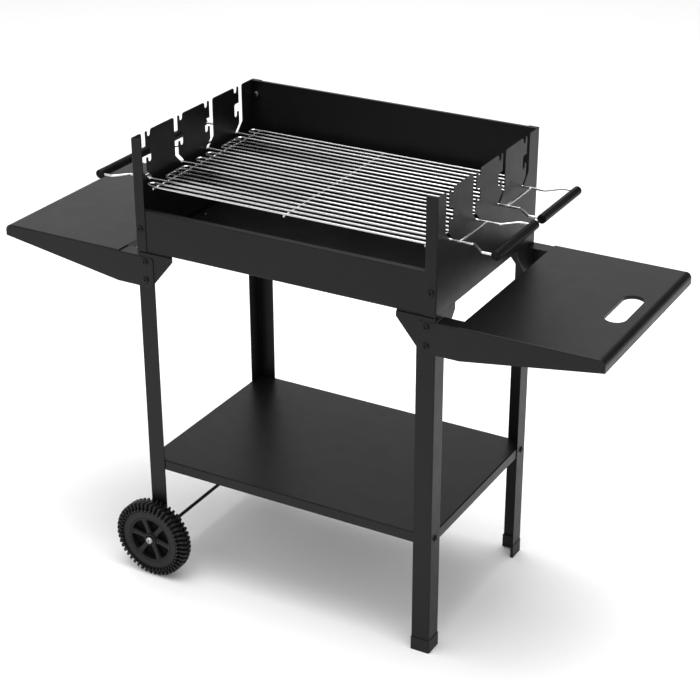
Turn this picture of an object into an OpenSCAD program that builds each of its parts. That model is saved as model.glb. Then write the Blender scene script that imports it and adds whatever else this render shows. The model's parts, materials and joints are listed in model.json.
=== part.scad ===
// Charcoal barbecue trolley: a sheet-steel firebox on four angle legs, with two
// half grates that hook into comb-cut side panels, two side shelves, a lower
// shelf, two feet and a pair of wheels on one axle.
// X runs left to right, Y front to back, Z up. The origin is on the ground,
// under the middle of the trolley.

/* [Firebox] */
// Outside width of the firebox and of the leg frame
body_w = 600; // [560:5:640]
// Outside depth of the firebox and of the leg frame
body_d = 401; // [395:1:440]
// Height of the firebox's lower edge
firebox_z = 670; // [640:5:700]
// Height of the comb plates and of the back panel
comb_top = 881; // [875:1:900]
// Height of the front panel's top edge
front_top = 749; // [735:1:765]
// Thickness of the panels and shelves
sheet_t = 1.2; // [1:0.1:1.5]
// Width of the side panels' front and back flanges
flange_w = 21; // [18:1:26]

/* [Grates] */
// Height of the cooking wires' centres, in the bottom of the slots
grate_z = 790; // [785:1:794]
// Distance between neighbouring cooking wires
wire_pitch = 16.8; // [16:0.1:17.5]
// Diameter of the cooking wires
wire_d = 4; // [3.6:0.1:4.4]
// Diameter of the two long wires that end in the grips
handle_d = 4.6; // [4.4:0.1:5]
// Middle of the front half grate
front_grate_y = -97; // [-98:0.5:-96]
// Middle of the back half grate
back_grate_y = 86; // [85:0.5:90]
// Distance from the middle of the trolley to the end of the cooking wires
wire_reach = 287; // [280:1:290]
// Distance from the middle of the trolley to the grips
grip_x = 392; // [382:1:400]
// Length of a grip
grip_len = 158; // [156:1:166]
// Diameter of a grip
grip_d = 16.4; // [15:0.2:18]

/* [Comb slots] */
// Width of the straight part of a slot
slot_w = 12; // [11:0.5:13]
// Sideways distance from a hook to the straight part of its slot
slot_shift = 16.5; // [16:0.5:17]
// Width of the slot's sloping foot
slot_foot_w = 7.6; // [7:0.2:8.2]
// Width of the two hooks beside each slot
hook_w = 9.5; // [9:0.5:10]
// Height of the middle hook's seat
hook_z = 822; // [818:1:826]

/* [Legs] */
// Width of a leg's two flanges
leg_w = 35; // [32:1:38]
// Thickness of a leg
leg_t = 1.5; // [1.2:0.1:2]
// Width of the legs' flared tops
flare_w = 74; // [66:1:80]
// Height at which a leg starts to flare
flare_z = 611; // [600:1:625]
// Height of a foot
foot_h = 27; // [22:1:32]

/* [Side shelves] */
// Distance from the middle of the trolley to a shelf's outer edge
shelf_reach = 600; // [570:5:620]
// Height of the side shelves
shelf_z = 663; // [660:1:668]
// Depth of a shelf's arm at the leg
arm_h = 61; // [55:1:66]
// Depth of a shelf's rolled outer edge
edge_h = 22; // [18:1:26]
// Length of the hand hole in the right shelf
hand_l = 119; // [100:1:130]
// Width of the hand hole in the right shelf
hand_w = 38; // [30:1:42]

/* [Lower shelf] */
// Height of the lower shelf
low_z = 246; // [220:2:280]
// Depth of the lower shelf's folded edge
low_lip = 20; // [16:1:24]

/* [Wheels] */
// Diameter of a wheel
wheel_d = 157; // [150:1:160]
// Width of a wheel's tread
wheel_w = 28; // [24:1:30]
// Diameter of the axle
axle_d = 7; // [6:0.5:8]
// Distance from the legs' left face to the axle
axle_in = 11.5; // [9:0.5:14]
// Number of tread lugs
lug_count = 48; // [40:2:60]

/* [Hidden] */

$fn = 48;
eps = 0.01;
gap = 0.1;                          // space between sheets that are bolted together
half_w = body_w / 2;
half_d = body_d / 2;
bend_r = 2.5;                       // outside radius of a folded edge

// Fasteners
bolt_r = 3;
bolt_hole_r = 3.25;
head_r = 6.2;
head_h = 3.2;
nut_r = 5.7;
nut_h = 4.6;

// Firebox
panel_y = half_d - sheet_t - gap;   // outer face of the front and back panels
panel_x = half_w - sheet_t - gap;   // outer edge of what fits between the side panels
tongue_t = 1.4;                     // leg strip behind the panels
tongue_y = panel_y - sheet_t - gap; // outer face of that strip
tongue_w = 70;
tongue_top = firebox_z + 56;
flange_bolt_x = half_w - 9.5;
low_bolt_z = firebox_z + 43;
high_bolt_z = comb_top - 28;
floor_z = firebox_z + sheet_t + gap;
floor_tab = 24;
floor_half_d = tongue_y - tongue_t - 0.4;

// Grates
wire_r = wire_d / 2;
handle_r = handle_d / 2;
wires_per_grate = 11;
mid_wire = (wires_per_grate - 1) / 2;
handle_wire = 3 * wire_pitch;       // the two long wires, from the grate's middle
ring_wire = 2 * wire_pitch;         // outer wires of the middle ring
ring_reach = wire_reach - 3;
ring_r = 8;
bar_x = [-ring_reach + 14, 0, ring_reach - 14];
bar_drop = wire_d - 0.2;            // bars are welded under the wires
link_x = half_w + 15;               // cross link outside the side panel
link_r = handle_r - 0.3;
step_x = half_w + 42;
spread = 24;                        // the long wires spread by this on their way to the grips
grip_wire = handle_wire + spread;
grip_rod_r = 3;
grip_bore_r = 3.05;
grip_wall = 2;                      // closed ends of a grip
grip_r = grip_d / 2;
wire_hole_r = handle_r + 0.15;

// Comb slots
foot_r = slot_foot_w / 2;
foot_z = grate_z - handle_r - 0.25 + foot_r;
hook_r = hook_w / 2;
finger_far = slot_shift - slot_w / 2;
finger_near = hook_r - 0.25;
hook_far = hook_r + 0.25;
finger_w = finger_far - finger_near;
top_hook_z = comb_top - 12;
hook_mouth = 26;
corner_r = 5;

// Feet
foot_floor = 5;
foot_proud = 1;
foot_t = 5.8;

// Side shelves
arm_y = half_d + gap;               // inner face of the arms
arm_in = half_w - leg_w + 1;        // inboard end of the arms
arm_flat = half_w + 45;             // where the arms start to taper
arm_r = 11;
roll_r = 12;
strip_w = 29;
notch_x = half_w + 41;
inner_lip = 15;
shelf_step = 2;                     // the strips beside the firebox lie lower than the shelf
shelf_bolt_x = half_w - 17;
shelf_bolt_z = [shelf_z - 12, shelf_z - 47];
hand_x = shelf_reach - 47;
collar_h = 6.5;                     // folded rim around the hand hole

// Lower shelf
low_x = half_w - leg_t - gap;
low_y = half_d - leg_t - gap;
low_bolt_y = half_d - 17;
low_bolt_drop = 10;

// Wheels and axle
axle_x = -half_w + axle_in;
axle_r = axle_d / 2;
wheel_r = wheel_d / 2;
wheel_bore_r = axle_r + 0.08;
washer_t = 1.5;
washer_r = 9;
hub_w = wheel_w;
hub_y = half_d + gap + washer_t + gap;   // inner face of a hub
hub_r = 13;
rim_r = 65;
rim_in = 43;
rim_w = wheel_w - 1;
web_t = 4;
spoke_w = 10;
spoke_d = 22;
spoke_turn = 51;
lug_h = 4.4;
lug_fill = 0.55;
cap_r = 7;
cap_h = 5.2;
cap_wall = 1.2;
axle_end = hub_y + hub_w + gap + cap_h - cap_wall - 0.2;
wheel_leg_end = wheel_r - 18;
leg_gap = 2.6;                      // between a leg's front gusset and the firebox
leg_side_gap = 0.4;

// ---- shape helpers ----------------------------------------------------------

// Extrudes an outline drawn in Y and Z along X, from x0.
module along_x(x0, length) {
    translate([x0, 0, 0]) rotate([90, 0, 90]) linear_extrude(length) children();
}

// Extrudes an outline drawn in X and Z along Y, from y0.
module along_y(y0, length) {
    translate([0, y0 + length, 0]) rotate([90, 0, 0]) linear_extrude(length) children();
}

// A folded strip in plan: two flanges from a rounded outer corner at the origin.
module angle_2d(a, b, t, r) {
    translate([r, 0]) square([a - r, t]);
    translate([0, r]) square([t, b - r]);
    intersection() {
        translate([r, r]) difference() {
            circle(r);
            circle(r - t);
        }
        square([r, r]);
    }
}

// A moulded angle in plan: as above, but thick, with a sharp inner corner.
module thick_angle_2d(a, t, r) {
    translate([r, 0]) square([a - r, t]);
    translate([0, r]) square([t, a - r]);
    translate([r, r]) circle(r);
    translate([r, r]) square([t - r, t - r]);
}

// A rectangle from the origin with its two upper corners rounded.
module round_top_2d(half, top, bottom, r) {
    translate([-half, bottom]) square([2 * half, top - r - bottom]);
    translate([-half + r, bottom]) square([2 * half - 2 * r, top - bottom]);
    for (side = [-1, 1]) translate([side * (half - r), top - r]) circle(r);
}

module mirror_x(on) {
    if (on) mirror([1, 0, 0]) children();
    else children();
}

module mirror_y(on) {
    if (on) mirror([0, 1, 0]) children();
    else children();
}

// Button-head bolt with its head at the origin and its shank along -Z.
module bolt(length) {
    rotate_extrude() polygon([[0, -length], [bolt_r, -length], [bolt_r, 0], [head_r, 0],
                              [head_r, head_h * 0.35], [head_r * 0.8, head_h * 0.75],
                              [head_r * 0.45, head_h], [0, head_h]]);
}

// Hexagon nut from the origin along +Z.
module nut(radius, bore_r, height) {
    difference() {
        cylinder(r = radius, h = height, $fn = 6);
        translate([0, 0, -eps]) cylinder(r = bore_r, h = height + 2 * eps);
    }
}

// Holes along Y at x, z, through everything near the plane y.
module hole_y(x, y, z, r) {
    translate([x, y, z]) rotate([90, 0, 0]) cylinder(r = r, h = 20, center = true);
}

module hole_x(x, y, z, r) {
    translate([x, y, z]) rotate([0, 90, 0]) cylinder(r = r, h = 20, center = true);
}

// Straight wire between two points, with round ends.
module wire(a, b, r) {
    v = b - a;
    len = norm(v);
    translate(a) rotate([0, acos(v[2] / len), atan2(v[1], v[0])]) cylinder(r = r, h = len);
}

// Wire that follows a list of points, with a slightly larger ball at each bend.
module bent_wire(points, r) {
    for (i = [0 : len(points) - 2]) wire(points[i], points[i + 1], r);
    for (i = [1 : len(points) - 2]) translate(points[i]) sphere(r + 0.08);
}

// ---- firebox ----------------------------------------------------------------

// Points on an arc round [y, z], from angle a to angle b.
function arc(y, z, r, a, b, steps = 8) =
    [for (i = [0 : steps]) let (t = a + (b - a) * i / steps) [y + r * cos(t), z + r * sin(t)]];

// Points of one hook: over the round-topped finger, down to the seat and up again.
function hook_points(seat, finger_top) = concat(
    arc(-(finger_far + finger_near) / 2, finger_top - finger_w / 2, finger_w / 2, 180, 0),
    arc(0.25, seat + hook_r, hook_r, 180, 360));

// One slot with its two hooks, in Y and Z, measured from its wire at y = 0.
// The hooks are on the +Y side of the slot.
module comb_slot_2d() {
    outer = -slot_shift - slot_w / 2;
    slope = foot_r * sqrt(2);
    mouth_top = hook_z + hook_mouth;
    polygon(concat(
        [[outer - corner_r, comb_top + 5]],
        arc(outer - corner_r, comb_top - corner_r, corner_r, 80, 0, 4),
        [[outer, foot_z - slope - outer]],
        arc(0, foot_z, foot_r, 225, 405),
        [[-finger_far, foot_z + slope + finger_far]],
        hook_points(hook_z, hook_z + 10),
        arc(hook_far - corner_r, mouth_top - corner_r, corner_r, 0, 90, 5),
        [[-finger_far, mouth_top]],
        hook_points(top_hook_z, comb_top - 0.6),
        arc(hook_far + corner_r, comb_top - corner_r, corner_r, 180, 100, 4),
        [[hook_far + corner_r, comb_top + 5]]));
}

// Side panel with its comb, drawn on the left.
module side_panel() {
    difference() {
        union() {
            translate([-half_w, -half_d, firebox_z]) linear_extrude(comb_top - firebox_z)
                angle_2d(flange_w, half_d + eps, sheet_t, bend_r);
            translate([-half_w, half_d, firebox_z]) mirror([0, 1, 0])
                linear_extrude(comb_top - firebox_z) angle_2d(flange_w, half_d, sheet_t, bend_r);
            translate([-half_w + sheet_t - eps, -45, firebox_z]) cube([floor_tab, 90, sheet_t]);
        }
        along_x(-half_w - 10, 30) {
            for (wire_y = [-handle_wire, handle_wire]) {
                translate([front_grate_y + wire_y, 0]) comb_slot_2d();
                translate([back_grate_y + wire_y, 0]) mirror([1, 0]) comb_slot_2d();
            }
        }
        for (y = [-half_d, half_d]) hole_y(-flange_bolt_x, y, low_bolt_z, bolt_hole_r);
        hole_y(-flange_bolt_x, half_d, high_bolt_z, bolt_hole_r);
        translate([-half_w + 14, 0, firebox_z]) cylinder(r = bolt_hole_r, h = 20, center = true);
    }
}

module left_side_panel() {
    color("#2b2b2d") side_panel();
}

module right_side_panel() {
    color("#2b2b2d") mirror([1, 0, 0]) side_panel();
}

// Panel behind the side panels' flanges, with folded top and bottom edges.
module end_panel(top, lip) {
    difference() {
        along_x(-panel_x + 0.4, 2 * panel_x - 0.8) {
            translate([-panel_y, top]) mirror([0, 1]) angle_2d(lip, top - firebox_z - 20, sheet_t, bend_r);
            translate([-panel_y, firebox_z]) angle_2d(lip, 40, sheet_t, bend_r);
        }
        for (x = [-flange_bolt_x, flange_bolt_x]) {
            hole_y(x, -half_d, low_bolt_z, bolt_hole_r);
            hole_y(x, -half_d, high_bolt_z, bolt_hole_r);
            // room for the leg's strip beside the folded bottom edge
            translate([x < 0 ? -half_w : half_w - tongue_w - 8, -tongue_y, firebox_z - 1])
                cube([tongue_w + 8, 20, sheet_t + 3]);
        }
    }
}

module front_panel() {
    color("#2d2d2f") end_panel(front_top, 10);
}

module back_panel() {
    color("#2b2b2d") mirror([0, 1, 0]) end_panel(comb_top, 8);
}

// Firebox floor: a shallow tray.
module firebox_floor() {
    tray_x = panel_x - 0.3;
    lip_h = 14;
    color("#1c1c1e") difference() {
        translate([-tray_x, -floor_half_d, floor_z]) cube([2 * tray_x, 2 * floor_half_d, lip_h]);
        translate([-tray_x + sheet_t, -floor_half_d + sheet_t, floor_z + sheet_t])
            cube([2 * (tray_x - sheet_t), 2 * (floor_half_d - sheet_t), lip_h]);
        for (x = [-half_w + 14, half_w - 14])
            translate([x, 0, floor_z]) cylinder(r = bolt_hole_r, h = 20, center = true);
    }
}

// ---- legs and feet ----------------------------------------------------------

// Outline of one leg face, from the corner outwards.
module leg_face_2d(bottom, drop) {
    corner = leg_t + 1;
    polygon([[0, bottom], [leg_w, bottom], [leg_w, flare_z], [flare_w, firebox_z - 12],
             [flare_w, firebox_z - drop], [corner, firebox_z - drop],
             [corner, firebox_z - gap], [0, firebox_z - gap]]);
}

// Leg with its corner at the front left, and a strip that reaches up inside the firebox.
module leg(bottom, has_axle) {
    difference() {
        union() {
            translate([-half_w, -half_d, 0]) intersection() {
                translate([0, 0, bottom]) linear_extrude(firebox_z - bottom)
                    angle_2d(flare_w, flare_w, leg_t, bend_r);
                along_y(-eps, flare_w + 1) leg_face_2d(bottom, leg_gap);
                along_x(-eps, flare_w + 1) leg_face_2d(bottom, leg_side_gap);
            }
            translate([-half_w + 4, -half_d + leg_t - eps, firebox_z - 11])
                cube([tongue_w, half_d - tongue_y + tongue_t - leg_t, 7]);
            translate([-half_w + 4, -tongue_y, firebox_z - 5])
                cube([tongue_w, tongue_t, tongue_top - firebox_z + 4]);
        }
        hole_y(-flange_bolt_x, -half_d, low_bolt_z, bolt_hole_r);
        for (z = shelf_bolt_z) hole_y(-shelf_bolt_x, -half_d, z, bolt_hole_r);
        hole_x(-half_w, -low_bolt_y, low_z - low_bolt_drop, bolt_hole_r);
        if (has_axle) hole_y(axle_x, -half_d, wheel_r, axle_r + 0.1);
    }
}

module front_left_leg() {
    color("#2c2c2e") leg(wheel_leg_end, true);
}

module back_left_leg() {
    color("#2c2c2e") mirror_y(true) leg(wheel_leg_end, true);
}

module front_right_leg() {
    color("#2c2c2e") mirror_x(true) leg(foot_floor + gap, false);
}

module back_right_leg() {
    color("#2c2c2e") mirror_x(true) mirror_y(true) leg(foot_floor + gap, false);
}

// Moulded cap for the lower end of an angle leg, drawn at the front left.
module foot() {
    size = leg_w + 2 * foot_proud;
    pocket = foot_proud - gap;
    translate([-half_w - foot_proud, -half_d - foot_proud, 0]) difference() {
        linear_extrude(foot_h) thick_angle_2d(size, foot_t, bend_r + 1);
        translate([pocket, pocket, foot_floor]) linear_extrude(foot_h)
            angle_2d(leg_w + 2 * gap, leg_w + 2 * gap, leg_t + 2 * gap, bend_r + gap);
    }
}

module front_right_foot() {
    color("#18181a") mirror_x(true) foot();
}

module back_right_foot() {
    color("#18181a") mirror_x(true) mirror_y(true) foot();
}

// ---- shelves ----------------------------------------------------------------

// Side view of a side shelf: level top, tapered arm and rolled outer edge.
module shelf_side_2d() {
    low = shelf_z - arm_h;
    translate([arm_in + arm_r, low]) square([arm_flat - arm_in - arm_r, arm_h]);
    translate([arm_in, low + arm_r]) square([arm_r + eps, arm_h - 2 * arm_r]);
    for (z = [low + arm_r, shelf_z - arm_r]) translate([arm_in + arm_r, z]) circle(arm_r);
    polygon([[arm_flat - eps, low], [shelf_reach, shelf_z - edge_h],
             [shelf_reach, shelf_z - roll_r], [shelf_reach - roll_r, shelf_z - roll_r],
             [shelf_reach - roll_r, shelf_z], [arm_flat - eps, shelf_z]]);
    roll_corner_2d(roll_r);
}

// What is hollow below the top and between the arms.
module shelf_hollow_2d() {
    top = shelf_z - sheet_t;
    outer = shelf_reach - sheet_t;
    polygon([[arm_in - 10, 0], [outer, 0], [outer, shelf_z - roll_r],
             [shelf_reach - roll_r, shelf_z - roll_r], [shelf_reach - roll_r, top],
             [arm_in - 10, top]]);
    roll_corner_2d(roll_r - sheet_t);
}

module roll_corner_2d(r) {
    translate([shelf_reach - roll_r, shelf_z - roll_r]) intersection() {
        circle(r);
        translate([-eps, -eps]) square(r + 1);
    }
}

// Bar along X whose top drops by shelf_step inboard of x.
module stepped_bar(half, top, x, r) {
    along_x(0, x + eps) round_top_2d(half, top - shelf_step, 0, r);
    along_x(x, shelf_reach + 5 - x) round_top_2d(half, top, 0, r);
}

module hand_hole_2d(grow) {
    half = (hand_l - hand_w) / 2;
    square([hand_w + 2 * grow, 2 * half], center = true);
    for (side = [-1, 1]) translate([0, side * half]) circle(hand_w / 2 + grow);
}

// Side shelf folded from one sheet, drawn on the right.
module side_shelf(hand_hole) {
    outer_y = arm_y + sheet_t;
    lip_y = half_d - strip_w;
    difference() {
        union() {
            difference() {
                intersection() {
                    along_y(-outer_y, 2 * outer_y) shelf_side_2d();
                    stepped_bar(outer_y, shelf_z, notch_x, bend_r);
                }
                intersection() {
                    along_y(-arm_y, 2 * arm_y) shelf_hollow_2d();
                    stepped_bar(arm_y, shelf_z - sheet_t, notch_x + sheet_t, bend_r - sheet_t);
                }
            }
            if (hand_hole) translate([hand_x, 0, shelf_z - collar_h])
                linear_extrude(collar_h - sheet_t + eps) hand_hole_2d(sheet_t);
        }
        translate([arm_in - 5, -arm_y, shelf_z - 8]) cube([half_w + 0.8 - arm_in + 5, 2 * arm_y, 20]);
        translate([half_w, -lip_y, shelf_z - 8]) cube([notch_x - half_w, 2 * lip_y, 20]);
        for (y = [-half_d, half_d], z = shelf_bolt_z) hole_y(shelf_bolt_x, y, z, bolt_hole_r);
        if (hand_hole) translate([hand_x, 0, shelf_z - 20]) linear_extrude(40) hand_hole_2d(0);
    }
    translate([notch_x - eps, -lip_y, shelf_z - inner_lip])
        cube([sheet_t, 2 * lip_y, inner_lip - sheet_t + eps]);
}

module left_side_shelf() {
    color("#343436") mirror([1, 0, 0]) side_shelf(false);
}

module right_side_shelf() {
    color("#343436") side_shelf(true);
}

// Lower shelf: a sheet with its four edges folded down.
module lower_shelf() {
    color("#2f2f31") difference() {
        low_tray(low_x, low_y, low_z, bend_r);
        translate([0, 0, -eps]) low_tray(low_x - sheet_t, low_y - sheet_t, low_z - sheet_t, bend_r - sheet_t);
        for (x = [-half_w, half_w], y = [-low_bolt_y, low_bolt_y])
            hole_x(x, y, low_z - low_bolt_drop, bolt_hole_r);
    }
}

module low_tray(x, y, top, r) {
    intersection() {
        along_y(-y, 2 * y) round_top_2d(x, top, low_z - low_lip, r);
        along_x(-x, 2 * x) round_top_2d(y, top, low_z - low_lip, r);
    }
}

// ---- grates -----------------------------------------------------------------

// Two neighbouring wires joined by a bend at each end, drawn at z = 0.
module wire_pair(y0) {
    bend = wire_pitch / 2;
    straight = wire_reach - wire_r - bend;
    for (y = [y0, y0 + wire_pitch]) wire([-straight, y, 0], [straight, y, 0], wire_r);
    for (side = [0, 1]) mirror([side, 0, 0]) translate([straight, y0 + bend, 0])
        rotate([0, 0, -90]) rotate_extrude(angle = 180) translate([bend, 0]) circle(wire_r);
}

// Ring that holds the middle wires, with a round bend at each corner.
module wire_ring() {
    x = ring_reach - wire_r;
    for (y = [-ring_wire, ring_wire]) wire([-x + ring_r, y, 0], [x - ring_r, y, 0], wire_r);
    for (side = [-1, 1]) wire([side * x, -ring_wire + ring_r, 0], [side * x, ring_wire - ring_r, 0], wire_r);
    for (i = [0, 1], j = [0, 1]) mirror([i, 0, 0]) mirror([0, j, 0])
        translate([x - ring_r, ring_wire - ring_r, 0]) rotate_extrude(angle = 90)
            translate([ring_r, 0]) circle(wire_r);
}

// Cooking wires of a half grate, without the two long ones.
module grate_wires() {
    wire_pair(-mid_wire * wire_pitch);
    wire_pair((mid_wire - 1) * wire_pitch);
    wire_ring();
    for (i = [-1, 0, 1])
        wire([-ring_reach + wire_r, i * wire_pitch, 0], [ring_reach - wire_r, i * wire_pitch, 0], wire_r);
}

// Half of a long wire: out through its slot, aslant to its end of the grip, and into it.
function handle_path(side, way) = [
    [0, way * handle_wire, 0], [side * step_x, way * handle_wire, 0],
    [side * (step_x + spread), way * grip_wire, 0], [side * grip_x, way * grip_wire, 0]];

// The two long wires that rest in the slots, their links and the rods in the grips.
module grate_handles() {
    for (side = [-1, 1]) {
        for (way = [-1, 1]) bent_wire(handle_path(side, way), handle_r);
        wire([side * link_x, -handle_wire, 0], [side * link_x, handle_wire, 0], link_r);
        wire([side * grip_x, -grip_len / 2 + grip_wall + 0.1, 0],
             [side * grip_x, grip_len / 2 - grip_wall - 0.1, 0], grip_rod_r);
    }
}

// Cross bars welded under the cooking wires.
module grate_bars() {
    reach = mid_wire * wire_pitch + 3;
    for (x = bar_x) wire([x, -reach, -bar_drop], [x, reach, -bar_drop], wire_r);
}

// Tube grip with a bore for the rod and a hole for each wire.
module grip(side) {
    half = grip_len / 2;
    translate([side * grip_x, 0, 0]) difference() {
        rotate([90, 0, 0]) rotate_extrude() polygon([
            [0, -half], [grip_r - 1.2, -half], [grip_r, -half + 1.2],
            [grip_r, half - 1.2], [grip_r - 1.2, half], [0, half]]);
        rotate([90, 0, 0]) cylinder(r = grip_bore_r, h = grip_len - 2 * grip_wall, center = true);
        for (way = [-1, 1])
            wire([side * 0.2, way * grip_wire, 0], [-side * 20, way * grip_wire, 0], wire_hole_r);
    }
}

module at_front_grate() {
    translate([0, front_grate_y, grate_z]) children();
}

module at_back_grate() {
    translate([0, back_grate_y, grate_z]) children();
}

module front_grate_wires() {
    color("#c9cacc") at_front_grate() grate_wires();
}

module front_grate_handles() {
    color("#c9cacc") at_front_grate() grate_handles();
}

module front_grate_bars() {
    color("#c9cacc") at_front_grate() grate_bars();
}

module front_left_grip() {
    color("#161617") at_front_grate() grip(-1);
}

module front_right_grip() {
    color("#161617") at_front_grate() grip(1);
}

module back_grate_wires() {
    color("#c9cacc") at_back_grate() grate_wires();
}

module back_grate_handles() {
    color("#c9cacc") at_back_grate() grate_handles();
}

module back_grate_bars() {
    color("#c9cacc") at_back_grate() grate_bars();
}

module back_left_grip() {
    color("#161617") at_back_grate() grip(-1);
}

module back_right_grip() {
    color("#161617") at_back_grate() grip(1);
}

// ---- wheels and axle --------------------------------------------------------

module axle() {
    color("#3a3a3c") translate([axle_x, 0, wheel_r]) rotate([90, 0, 0])
        cylinder(r = axle_r, h = 2 * axle_end, center = true);
}

// Washers between the legs and the hubs.
module axle_washers() {
    color("#b4b5b8") for (back = [false, true]) mirror_y(back)
        translate([axle_x, -half_d - gap, wheel_r]) rotate([90, 0, 0]) difference() {
            cylinder(r = washer_r, h = washer_t);
            translate([0, 0, -1]) cylinder(r = axle_r + 0.15, h = washer_t + 2);
        }
}

// Domed push-on caps that close over the two ends of the axle.
module axle_caps() {
    color("#b4b5b8") for (back = [false, true]) mirror_y(back)
        translate([axle_x, -hub_y - hub_w - gap, wheel_r]) rotate([90, 0, 0]) difference() {
            rotate_extrude() polygon([[0, 0], [cap_r, 0], [cap_r, cap_h * 0.3], [cap_r * 0.92, cap_h * 0.62],
                                      [cap_r * 0.7, cap_h * 0.88], [cap_r * 0.4, cap_h], [0, cap_h]]);
            translate([0, 0, -1]) cylinder(r = axle_r, h = cap_h - cap_wall + 1);
        }
}

// Outline of the tread, with one lug for each step.
module tread_2d() {
    step = 360 / lug_count;
    polygon([for (i = [0 : lug_count - 1], k = [0, 1, 2, 3])
        let (a = i * step + (k < 2 ? 0 : lug_fill * step) + (k == 1 ? 0.12 * step : k == 2 ? -0.12 * step : 0),
             r = (k == 1 || k == 2) ? wheel_r : wheel_r - lug_h)
        [r * cos(a), r * sin(a)]]);
}

// Moulded wheel along +Z, from the inner face of its hub.
module wheel_body() {
    mid = hub_w / 2;
    difference() {
        union() {
            translate([0, 0, mid - wheel_w / 2]) linear_extrude(wheel_w) difference() {
                tread_2d();
                circle(rim_r - 1);
            }
            translate([0, 0, mid - rim_w / 2]) difference() {
                cylinder(r = rim_r, h = rim_w);
                translate([0, 0, -1]) cylinder(r = rim_in, h = rim_w + 2);
            }
            translate([0, 0, mid - web_t / 2]) cylinder(r = rim_in + 1, h = web_t);
            for (i = [0 : 5]) rotate([0, 0, i * 60 + spoke_turn]) translate([hub_r - 2, -spoke_w / 2, mid - spoke_d / 2])
                cube([rim_in - hub_r + 4, spoke_w, spoke_d]);
            cylinder(r = hub_r, h = hub_w);
        }
        translate([0, 0, -1]) cylinder(r = wheel_bore_r, h = hub_w + 2);
    }
}

module front_wheel() {
    color("#1a1a1b") translate([axle_x, -hub_y, wheel_r]) rotate([90, 0, 0]) wheel_body();
}

module back_wheel() {
    color("#1a1a1b") translate([axle_x, hub_y, wheel_r]) rotate([-90, 0, 0]) wheel_body();
}

// ---- fasteners --------------------------------------------------------------

// Puts a part that points along +Z at an outer face, pointing out of it.
module facing_front(x, y, z) {
    translate([x, -y, z]) rotate([90, 0, 0]) children();
}

module facing_right(x, y, z) {
    translate([x, y, z]) rotate([0, 90, 0]) children();
}

// Positions of the bolts that hold the panels to the legs and to each other.
firebox_points = [for (x = [-flange_bolt_x, flange_bolt_x])
    for (p = [[false, low_bolt_z], [true, low_bolt_z], [true, high_bolt_z]]) [x, p[0], p[1]]];
firebox_nut_y = tongue_y - tongue_t - gap;
high_nut_y = panel_y - sheet_t - gap;

module firebox_bolts() {
    color("#202022") for (p = firebox_points) mirror_y(p[1])
        facing_front(p[0], half_d + gap, p[2]) bolt(10);
}

module firebox_nuts() {
    color("#b4b5b8") for (p = firebox_points) mirror_y(p[1])
        facing_front(p[0], (p[2] == high_bolt_z ? high_nut_y : firebox_nut_y) - nut_h, p[2])
            nut(nut_r, bolt_r, nut_h);
}

module floor_bolts() {
    color("#202022") for (x = [-half_w + 14, half_w - 14])
        translate([x, 0, floor_z + sheet_t + gap]) bolt(10);
}

module floor_nuts() {
    color("#b4b5b8") for (x = [-half_w + 14, half_w - 14])
        translate([x, 0, firebox_z - gap - nut_h]) nut(nut_r, bolt_r, nut_h);
}

module shelf_bolts() {
    color("#202022") for (x = [-shelf_bolt_x, shelf_bolt_x], z = shelf_bolt_z, back = [false, true])
        mirror_y(back) facing_front(x, arm_y + sheet_t + gap, z) bolt(9);
}

module shelf_nuts() {
    color("#b4b5b8") for (x = [-shelf_bolt_x, shelf_bolt_x], z = shelf_bolt_z, back = [false, true])
        mirror_y(back) facing_front(x, half_d - leg_t - gap - nut_h, z) nut(nut_r, bolt_r, nut_h);
}

module low_shelf_bolts() {
    color("#202022") for (left = [false, true], y = [-low_bolt_y, low_bolt_y]) mirror_x(left)
        facing_right(half_w + gap, y, low_z - low_bolt_drop) bolt(9);
}

module low_shelf_nuts() {
    color("#b4b5b8") for (left = [false, true], y = [-low_bolt_y, low_bolt_y]) mirror_x(left)
        facing_right(low_x - sheet_t - gap - nut_h, y, low_z - low_bolt_drop) nut(nut_r, bolt_r, nut_h);
}

// ---- nodes ------------------------------------------------------------------

left_side_panel();
right_side_panel();
front_panel();
back_panel();
firebox_floor();
front_left_leg();
front_right_leg();
back_left_leg();
back_right_leg();
front_right_foot();
back_right_foot();
left_side_shelf();
right_side_shelf();
lower_shelf();
axle();
axle_washers();
axle_caps();
front_wheel();
back_wheel();
firebox_bolts();
firebox_nuts();
floor_bolts();
floor_nuts();
shelf_bolts();
shelf_nuts();
low_shelf_bolts();
low_shelf_nuts();
front_grate_wires();
front_grate_handles();
front_grate_bars();
front_left_grip();
front_right_grip();
back_grate_wires();
back_grate_handles();
back_grate_bars();
back_left_grip();
back_right_grip();
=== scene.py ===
import json
import math

import bmesh
import bpy
from mathutils import Matrix, Vector


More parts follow.
